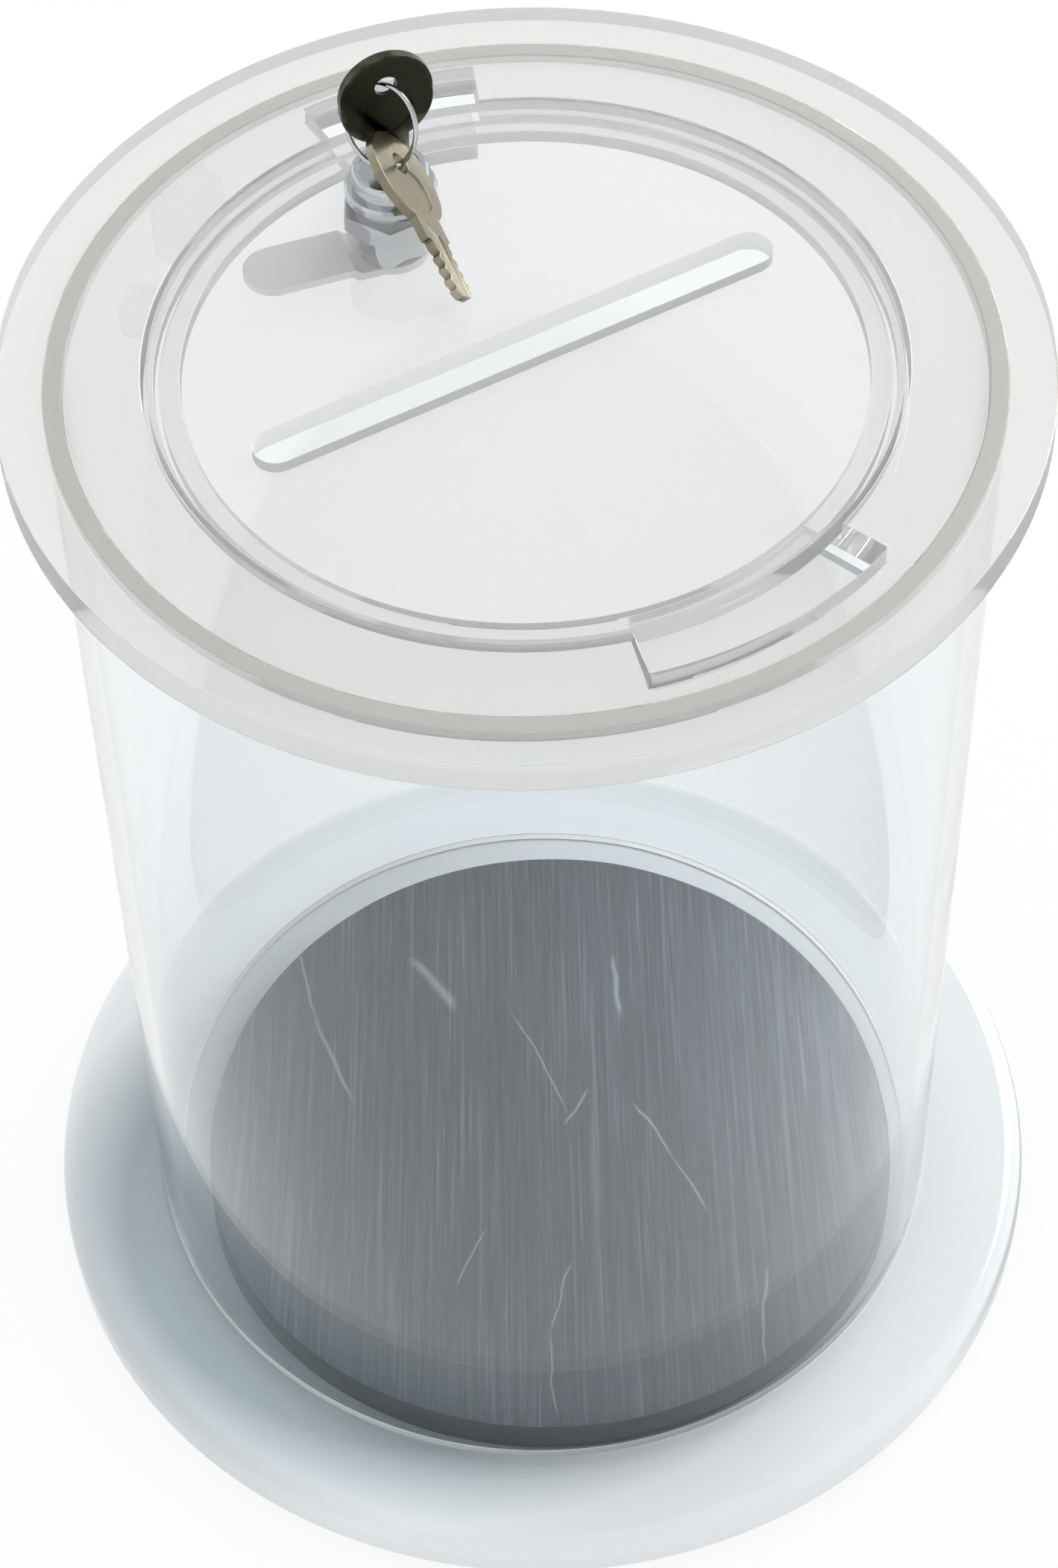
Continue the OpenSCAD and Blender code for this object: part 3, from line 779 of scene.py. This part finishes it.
class DonationBoxSizes(bpy.types.PropertyGroup):
    """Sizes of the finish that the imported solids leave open"""

    sheet_gap: bpy.props.FloatProperty(
        name="Sheet gap",
        description="Air between two clear sheets that lie on each other",
        default=0.08 * MM,
        unit="LENGTH",
        precision=5,
    )
    edge_round: bpy.props.FloatProperty(
        name="Edge rounding",
        description="Rounding of the clear pieces' polished edges",
        default=0.35 * MM,
        unit="LENGTH",
        precision=5,
    )
    lid_gap: bpy.props.FloatProperty(
        name="Lid gap",
        description="Gap between the lid's rim and the ring's recess",
        default=1.0 * MM,
        unit="LENGTH",
        precision=5,
    )
    notch_gap: bpy.props.FloatProperty(
        name="Notch gap",
        description="Gap between a lug's end and its notch",
        default=2.5 * MM,
        unit="LENGTH",
        precision=5,
    )
    notch_play: bpy.props.FloatProperty(
        name="Notch play",
        description="Angle left on each side of a lug in its notch",
        default=math.radians(1.0),
        subtype="ANGLE",
    )
    glue_gap: bpy.props.FloatProperty(
        name="Glue gap",
        description="Glue film between the tube and the ring's groove",
        default=0.1 * MM,
        unit="LENGTH",
        precision=5,
    )
    slot_length: bpy.props.FloatProperty(
        name="Slot length", description="Length of the money slot", default=123 * MM, unit="LENGTH"
    )
    slot_width: bpy.props.FloatProperty(
        name="Slot width", description="Width of the money slot", default=10 * MM, unit="LENGTH"
    )
    slot_offset: bpy.props.FloatProperty(
        name="Slot offset",
        description="Distance of the slot from the lid's middle, towards the lock",
        default=3 * MM,
        unit="LENGTH",
    )
    barrel: bpy.props.FloatProperty(
        name="Barrel", description="Outer diameter of the lock's thread", default=16 * MM, unit="LENGTH"
    )
    flats: bpy.props.FloatProperty(
        name="Flats",
        description="Distance across the barrel's two flats",
        default=13.6 * MM,
        unit="LENGTH",
    )
    hole_play: bpy.props.FloatProperty(
        name="Hole play",
        description="Gap between the barrel and its hole in the lid",
        default=0.15 * MM,
        unit="LENGTH",
        precision=5,
    )
    disc_edge: bpy.props.FloatProperty(
        name="Disc edge",
        description="Rounding of the steel disc's edges",
        default=0.8 * MM,
        unit="LENGTH",
    )


class DonationBoxColours(bpy.types.PropertyGroup):
    """Colours of the finish"""

    tube_tint: bpy.props.StringProperty(
        name="Tube tint", description="Body colour of the clear tube, as sRGB hex", default="#f8fbfc"
    )
    sheet_tint: bpy.props.StringProperty(
        name="Lid tint", description="Body colour of the clear lid, as sRGB hex", default="#f8f7f7"
    )
    flange_tint: bpy.props.StringProperty(
        name="Flange tint", description="Body colour of the clear flange, as sRGB hex", default="#f2f0ee"
    )
    slot_tone: bpy.props.StringProperty(
        name="Slot wall", description="Whitened walls of the milled slot, as sRGB hex", default="#ffffff"
    )
    edge_tone: bpy.props.StringProperty(
        name="Cut edges", description="Tone of frosted cut edges, as sRGB hex", default="#fafafa"
    )
    foot_tone: bpy.props.StringProperty(
        name="Tube foot",
        description="White line of the tube's cemented foot, as sRGB hex",
        default="#ffffff",
    )
    tube_end_tone: bpy.props.StringProperty(
        name="Tube end", description="Tone of the tube's sawn upper end, as sRGB hex", default="#dcddd6"
    )
    plate_white: bpy.props.StringProperty(
        name="Base plate", description="Colour of the opal base plate, as sRGB hex", default="#eef2f4"
    )
    # Colour of the shade painted into the base plate round the tube's foot
    plate_painted_shade: bpy.props.StringProperty(
        name="Base plate, painted shade",
        description="Base plate where its gloss mirrors the room's darker side, as sRGB hex",
        default="#a6b1b6",
    )
    steel_dark: bpy.props.StringProperty(
        name="Steel, dark", description="Darker brush marks of the disc, as sRGB hex", default="#2e363b"
    )
    steel_light: bpy.props.StringProperty(
        name="Steel, light", description="Lighter brush marks of the disc, as sRGB hex", default="#5a646b"
    )
    # Painted shade: the disc's rim is given a near-black colour for the shade on its side
    rim_painted_shade_tone: bpy.props.StringProperty(
        name="Steel, rim", description="Dark sheared rim of the disc, as sRGB hex", default="#0b1114"
    )
    # Painted shade and dark reflection: the bow of the key in the lock is painted dark and the spare key's
    # bow lighter, though both are the same nickel
    painted_bow_tone: bpy.props.StringProperty(
        name="Key bow", description="Tarnished bow of the key in the lock, as sRGB hex", default="#2f3026"
    )
    spare_painted_bow_tone: bpy.props.StringProperty(
        name="Spare key's bow", description="Lighter bow of the spare key, as sRGB hex", default="#8d8773"
    )
    blade_tone: bpy.props.StringProperty(
        name="Key blade", description="Rubbed plating of the keys' blades, as sRGB hex", default="#b9b19c"
    )


def sizes():
    """The size settings of this scene."""
    return bpy.context.scene.donation_box_sizes


def colours():
    """The colour settings of this scene."""
    return bpy.context.scene.donation_box_colours


def clear_sheet(name, tint):
    """The two materials of a clear sheet piece: its polished faces and its cut edges."""
    faces = cast_acrylic(name, tint, milk=0.14)
    edge_name = "Routed acrylic edge"
    edges = bpy.data.materials.get(edge_name)
    if edges is None:
        edges = routed_edge(edge_name, colours().edge_tone, cover=0.55, passes=0.6)
    return [faces, edges]


LOCK_METALS = {
    "Bright chrome plate": {"colour": "#c9ccce", "roughness": 0.09, "grain_mm": 3.0, "strength": 0.03},
    "Zinc-plated steel": {"colour": "#b9bdc0", "roughness": 0.22, "grain_mm": 0.8, "strength": 0.1},
    "Satin chrome plate": {
        "colour": "#fbfcff",
        "roughness": 0.42,
        "grain_mm": 0.5,
        "strength": 0.1,
        "haze": 0.6,
    },
}


def lock_metal(name):
    """One of the lock's plated metals, made when it is first asked for."""
    return bpy.data.materials.get(name) or plated_metal(name, **LOCK_METALS[name])


# Operators

END_TILT = 0.3  # height of a face's normal past which it is part of the tube's end or foot
RIM_TILT = 0.9  # the same, below which it is part of the disc's rim
CUT_PAST = 2 * MM  # how far a cutter stands out of what it cuts
EYE_DEPTH = 11 * MM  # from the top of a key down to the point that its painted dark bow spreads from


class DONATIONBOX_OT_base(bpy.types.Operator):
    """Dresses the opal base plate and its rubber feet"""

    bl_idname = "donation_box.base"
    bl_label = "Base Plate and Feet"

    def execute(self, context):
        paint("base_plate", white_acrylic(colours().plate_white, colours().plate_painted_shade))
        paint("feet", foot_rubber())
        return {"FINISHED"}


class DONATIONBOX_OT_tube(bpy.types.Operator):
    """Makes the clear tube with polished walls, a sawn upper end and a foot cemented to the plate"""

    bl_idname = "donation_box.tube"
    bl_label = "Clear Tube"

    def execute(self, context):
        gap = sizes().sheet_gap
        low, high = BASE_TOP + gap, TUBE_TOP - gap
        bm = lathe([(TUBE_IN, low), (TUBE_R, low), (TUBE_R, high), (TUBE_IN, high)])
        ease(bm, sizes().edge_round)
        bm.normal_update()
        for face in bm.faces:
            if abs(face.normal.z) > END_TILT:
                face.material_index = 1 if face.normal.z > 0 else 2
        walls = cast_acrylic("Clear acrylic tube", colours().tube_tint)
        end = routed_edge("Sawn tube end", colours().tube_end_tone, cover=1.0, passes=0.0)
        foot = routed_edge("Cemented tube foot", colours().foot_tone, cover=1.0, passes=0.0)
        keep(bm, "clear_tube", [walls, end, foot], "frame", ["tube"])
        return {"FINISHED"}


class DONATIONBOX_OT_top_ring(bpy.types.Operator):
    """Makes the flange round the lid, with its recess, groove and notches, and the blocks under it"""

    bl_idname = "donation_box.top_ring"
    bl_label = "Top Ring"

    def execute(self, context):
        size = sizes()
        gap = size.sheet_gap
        recess_r = LID_R + size.lid_gap
        notch_r = LUG_R + size.notch_gap
        under = RING_UNDER + gap
        groove_in, groove_out = TUBE_IN - size.glue_gap, TUBE_R + size.glue_gap
        ledge = LID_UNDER - gap
        bm = lathe(
            [
                (MOUTH_R, under),
                (groove_in, under),
                (groove_in, TUBE_TOP),
                (groove_out, TUBE_TOP),
                (groove_out, under),
                (RING_R, under),
                (RING_R, LID_TOP),
                (recess_r, LID_TOP),
                (recess_r, ledge),
                (MOUTH_R, ledge),
            ]
        )
        cutters = []
        play = math.degrees(size.notch_play)
        low, high = RING_UNDER - CUT_PAST, LID_TOP + CUT_PAST
        for lug in ("lug_wide", "lug_narrow"):
            start, end = span(lug)
            cutters.append(block(MOUTH_R - CUT_PAST, notch_r, low, high, start - play, end + play))
        bm = carve(bm, cutters)
        ease(bm, size.edge_round)
        mark_cuts(bm)
        flange = clear_sheet("Clear acrylic sheet, flange", colours().flange_tint)
        keep(bm, "flange_ring", flange, "frame", ["top_ring"])
        block_look = routed_edge("Bonded acrylic block", colours().edge_tone, cover=0.1, passes=0.0)
        for node in ("lock_keeper", "lug_stop"):
            r_in, r_out = radii(node)
            low, high = corners(node)
            start, end = span(node)
            bm = ease(block(r_in, r_out, low.z, high.z, start, end), size.edge_round)
            keep(bm, node + "_block", [block_look], "frame", [node])
        return {"FINISHED"}


class DONATIONBOX_OT_ballast(bpy.types.Operator):
    """Makes the loose steel disc on the base plate, with a brushed face and a rim painted near-black as
    shade
    """

    bl_idname = "donation_box.ballast"
    bl_label = "Ballast Disc"

    def execute(self, context):
        face = brushed_steel(colours().steel_dark, colours().steel_light)
        # The rim's near-black colour is painted shade
        rim = plated_metal(
            "Steel rim, painted shade", colours().rim_painted_shade_tone, roughness=0.5, grain_mm=0.6, strength=0.3
        )
        mid = middle("ballast_disc")
        low, high = corners("ballast_disc")
        radius = (high.x - low.x) / 2
        bm = lathe([(0, low.z), (radius, low.z), (radius, high.z), (0, high.z)])
        ease(bm, sizes().disc_edge, steps=3)
        mark_cuts(bm, flat=RIM_TILT)
        bmesh.ops.translate(bm, verts=bm.verts[:], vec=(mid.x, mid.y, 0))
        keep(bm, "steel_disc", [face, rim], "ballast", ["ballast_disc"])
        return {"FINISHED"}


class DONATIONBOX_OT_lid(bpy.types.Operator):
    """Makes the slotted lid with its spigot ring and its two lugs"""

    bl_idname = "donation_box.lid"
    bl_label = "Lid"

    def execute(self, context):
        size = sizes()
        sheet = clear_sheet("Clear acrylic sheet, lid", colours().sheet_tint)
        gap = size.sheet_gap
        rim = arc(0, 0, LID_R, 0, 360 * (1 - 1 / ROUND_STEPS), ROUND_STEPS - 1)
        half = size.slot_length / 2 - size.slot_width / 2
        end_r = size.slot_width / 2
        right_end = arc(half, size.slot_offset, end_r, -90, 90, CORNER_STEPS)
        left_end = arc(-half, size.slot_offset, end_r, 90, 270, CORNER_STEPS)
        slot = turned(right_end + left_end, LOCK_TURN)
        hole_r = size.barrel / 2 + size.hole_play
        open_half = size.flats / 2 + size.hole_play
        flat = math.degrees(math.asin(open_half / hole_r))
        right_side = arc(0, 0, hole_r, -flat, flat, CORNER_STEPS)
        left_side = arc(0, 0, hole_r, 180 - flat, 180 + flat, CORNER_STEPS)
        hole = turned(right_side + left_side, LOCK_TURN, LOCK.x, LOCK.y)
        bm = plate([rim, slot, hole], LID_UNDER + gap / 2, LID_TOP - gap / 2)
        ease(bm, size.edge_round)
        mark_cuts(bm)
        rim_starts = LID_R - size.edge_round - size.slot_width / 2
        for face in bm.faces:
            inside = face.calc_center_median().to_2d().length < rim_starts
            if face.material_index == 1 and inside:
                face.material_index = 2
        walls = routed_edge("Milled slot wall", colours().slot_tone, cover=1.0, passes=0.0)
        keep(bm, "slotted_lid", sheet + [walls], "lid", ["lid_disc"])
        top, low = LID_UNDER - gap, SPIGOT_LOW + gap
        bm = lathe([(SPIGOT_IN, low), (SPIGOT_R, low), (SPIGOT_R, top), (SPIGOT_IN, top)])
        ease(bm, size.edge_round)
        mark_cuts(bm)
        keep(bm, "centring_ring", sheet, "spigot", ["spigot_ring"])
        for node in ("lug_wide", "lug_narrow"):
            start, end = span(node)
            bm = ease(block(SPIGOT_IN, LUG_R, LUG_LOW, SPIGOT_LOW, start, end), size.edge_round)
            mark_cuts(bm)
            keep(bm, node + "_catch", sheet, "lid", [node])
        return {"FINISHED"}


class DONATIONBOX_OT_lock(bpy.types.Operator):
    """Makes the cam lock: collar, threaded barrel, nut, plug and stop washer"""

    bl_idname = "donation_box.lock"
    bl_label = "Cam Lock"

    def execute(self, context):
        chrome = lock_metal("Bright chrome plate")
        zinc = lock_metal("Zinc-plated steel")
        eased_copy("lock_body", chrome, "lid")
        eased_copy("lock_nut", chrome, "lid")
        eased_copy("lock_plug", zinc, "core")
        eased_copy("stop_washer", zinc, "core")
        return {"FINISHED"}


class DONATIONBOX_OT_cam(bpy.types.Operator):
    """Makes the locking cam and the screw that holds it"""

    bl_idname = "donation_box.cam"
    bl_label = "Cam and Screw"

    def execute(self, context):
        eased_copy("cam", lock_metal("Satin chrome plate"), "core")
        eased_copy("cam_screw", lock_metal("Zinc-plated steel"), "core")
        return {"FINISHED"}


class DONATIONBOX_OT_keys(bpy.types.Operator):
    """Makes the two keys and the split ring that joins them"""

    bl_idname = "donation_box.keys"
    bl_label = "Keys"

    def execute(self, context):
        # The bow tones are painted shade and dark reflection
        tones = (colours().painted_bow_tone, colours().spare_painted_bow_tone)
        for node, body, painted_bow_tone in zip(("key", "spare_key"), ("key", "spare"), tones):
            mid = middle(node)
            eye = Vector((mid.x, mid.y, corners(node)[1].z - EYE_DEPTH))
            nickel = nickel_with_painted_bow("Nickel plate with painted dark bow, " + node, eye, painted_bow_tone, colours().blade_tone)
            eased_copy(node, nickel, body)
        paint("key_ring", lock_metal("Bright chrome plate"))
        return {"FINISHED"}


FLOOR_GLOW = 0.88  # share of plain white in the floor that is seen; the rest is paper, which shades


def white_floor():
    """White paper floor that shows its own white to the eye and a soft shadow under the box."""
    material, tree = new_material("White paper floor")
    paper = add(tree, "ShaderNodeBsdfDiffuse", {"Color": linear("#f4f4f4")})
    glow = add(tree, "ShaderNodeEmission", {"Color": linear("#ffffff"), "Strength": 1.0})
    path = add(tree, "ShaderNodeLightPath")
    seen = path.outputs["Is Camera Ray"]
    for ray in ("Is Transmission Ray", "Is Glossy Ray"):
        either = add(tree, "ShaderNodeMath", {0: seen, 1: path.outputs[ray]}, operation="MAXIMUM")
        seen = either.outputs[0]
    part = add(tree, "ShaderNodeMath", {0: seen, 1: FLOOR_GLOW}, operation="MULTIPLY")
    mix = add(tree, "ShaderNodeMixShader", {0: part.outputs[0], 1: paper.outputs[0], 2: glow.outputs[0]})
    add(tree, "ShaderNodeOutputMaterial", {"Surface": mix.outputs[0]})
    return material


def studio_world():
    """White walls that darken towards the ceiling, and an even fill for matt surfaces."""
    world = bpy.data.worlds.new("Studio")
    bpy.context.scene.world = world
    world.use_nodes = True
    tree = world.node_tree
    tree.nodes.clear()
    path = add(tree, "ShaderNodeLightPath")
    way = add(tree, "ShaderNodeTexCoord")
    parts = add(tree, "ShaderNodeSeparateXYZ", {0: way.outputs["Generated"]})
    rise = add(
        tree,
        "ShaderNodeMapRange",
        {"Value": parts.outputs["Z"], "From Min": 0.1, "From Max": 0.7},
    )
    walls = add(
        tree,
        "ShaderNodeMix",
        {MIX_FACTOR: rise.outputs["Result"], MIX_FROM: linear("#ffffff"), MIX_TO: linear("#cfd1d3")},
        data_type="RGBA",
    )
    room = add(tree, "ShaderNodeBackground", {"Color": walls.outputs[MIX_COLOUR], "Strength": 1.0})
    fill = add(tree, "ShaderNodeBackground", {"Color": linear("#ffffff"), "Strength": 0.85})
    mix = add(
        tree,
        "ShaderNodeMixShader",
        {0: path.outputs["Is Diffuse Ray"], 1: room.outputs[0], 2: fill.outputs[0]},
    )
    add(tree, "ShaderNodeOutputWorld", {"Surface": mix.outputs[0]})


LAMP_AIM = Vector((0, 0, 0.12))


def lamp(name, spot, size, watts):
    """A square soft lamp aimed at the middle of the box."""
    data = bpy.data.lights.new(name, "AREA")
    data.shape = "SQUARE"
    data.size = size
    data.energy = watts
    item = bpy.data.objects.new(name, data)
    item.location = spot
    item.rotation_euler = (LAMP_AIM - Vector(spot)).to_track_quat("-Z", "Y").to_euler()
    bpy.context.scene.collection.objects.link(item)


VIEW_LONG_SIDE = 2104  # pixels on the long side of the camera's view
FOCAL_PIXELS = 5229.0  # the camera's focal length in the same pixels
SENSOR_MM = 36.0
CAMERA_SPOT = (0, -0.5764, 0.8651)
CAMERA_TURNS = (50.99, -1.36, -0.13)  # pitch below level, roll and yaw in degrees


def fitted_camera():
    """The camera that the view is seen by."""
    pitch, roll, yaw = (math.radians(a) for a in CAMERA_TURNS)
    data = bpy.data.cameras.new("camera")
    data.sensor_width = SENSOR_MM
    data.lens = FOCAL_PIXELS / VIEW_LONG_SIDE * SENSOR_MM
    data.clip_start = 0.05
    flat_way = Vector((math.sin(yaw), math.cos(yaw), 0))
    level = Vector((math.cos(yaw), -math.sin(yaw), 0))
    forward = flat_way * math.cos(pitch) - Vector((0, 0, math.sin(pitch)))
    upright = level.cross(forward)
    right = math.cos(roll) * level + math.sin(roll) * upright
    above = -math.sin(roll) * level + math.cos(roll) * upright
    camera = bpy.data.objects.new("camera", data)
    turn = Matrix((right, above, -forward)).transposed().to_4x4()
    camera.matrix_world = Matrix.Translation(CAMERA_SPOT) @ turn
    bpy.context.scene.collection.objects.link(camera)
    bpy.context.scene.camera = camera


class DONATIONBOX_OT_stage(bpy.types.Operator):
    """Sets up the white floor, the soft light and the camera"""

    bl_idname = "donation_box.stage"
    bl_label = "Stage"

    def execute(self, context):
        bm = bmesh.new()
        bmesh.ops.create_grid(bm, x_segments=1, y_segments=1, size=4.0)
        keep(bm, "floor", [white_floor()], None)
        studio_world()
        lamp("window_lamp", spot=(0.9, 1.0, 1.1), size=0.9, watts=11.0)
        lamp("fill_lamp", spot=(-1.2, -0.9, 1.8), size=1.4, watts=1.5)
        fitted_camera()
        context.scene.view_settings.view_transform = "Standard"
        return {"FINISHED"}


OPERATORS = (
    DONATIONBOX_OT_base,
    DONATIONBOX_OT_tube,
    DONATIONBOX_OT_top_ring,
    DONATIONBOX_OT_ballast,
    DONATIONBOX_OT_lid,
    DONATIONBOX_OT_lock,
    DONATIONBOX_OT_cam,
    DONATIONBOX_OT_keys,
    DONATIONBOX_OT_stage,
)


class DONATIONBOX_PT_pieces(bpy.types.Panel):
    """Lists the pieces of the donation box and their settings"""

    bl_idname = "DONATIONBOX_PT_pieces"
    bl_label = "Donation Box"
    bl_space_type = "VIEW_3D"
    bl_region_type = "UI"
    bl_category = "Donation Box"

    def draw(self, context):
        column = self.layout.column()
        for operator in OPERATORS:
            column.operator(operator.bl_idname)
        for group in (context.scene.donation_box_sizes, context.scene.donation_box_colours):
            for name in group.__annotations__:
                column.prop(group, name)


CLASSES = (DonationBoxSizes, DonationBoxColours, *OPERATORS, DONATIONBOX_PT_pieces)


def register():
    """Registers the classes and the scene's settings"""
    for cls in CLASSES:
        bpy.utils.register_class(cls)
    bpy.types.Scene.donation_box_sizes = bpy.props.PointerProperty(type=DonationBoxSizes)
    bpy.types.Scene.donation_box_colours = bpy.props.PointerProperty(type=DonationBoxColours)


def unregister():
    """Removes the classes and the scene's settings"""
    del bpy.types.Scene.donation_box_colours
    del bpy.types.Scene.donation_box_sizes
    for cls in reversed(CLASSES):
        bpy.utils.unregister_class(cls)


def main():
    """Builds every piece and the stage"""
    register()
    for operator in OPERATORS:
        group, name = operator.bl_idname.split(".")
        getattr(getattr(bpy.ops, group), name)()


if __name__ == "__main__":
    main()
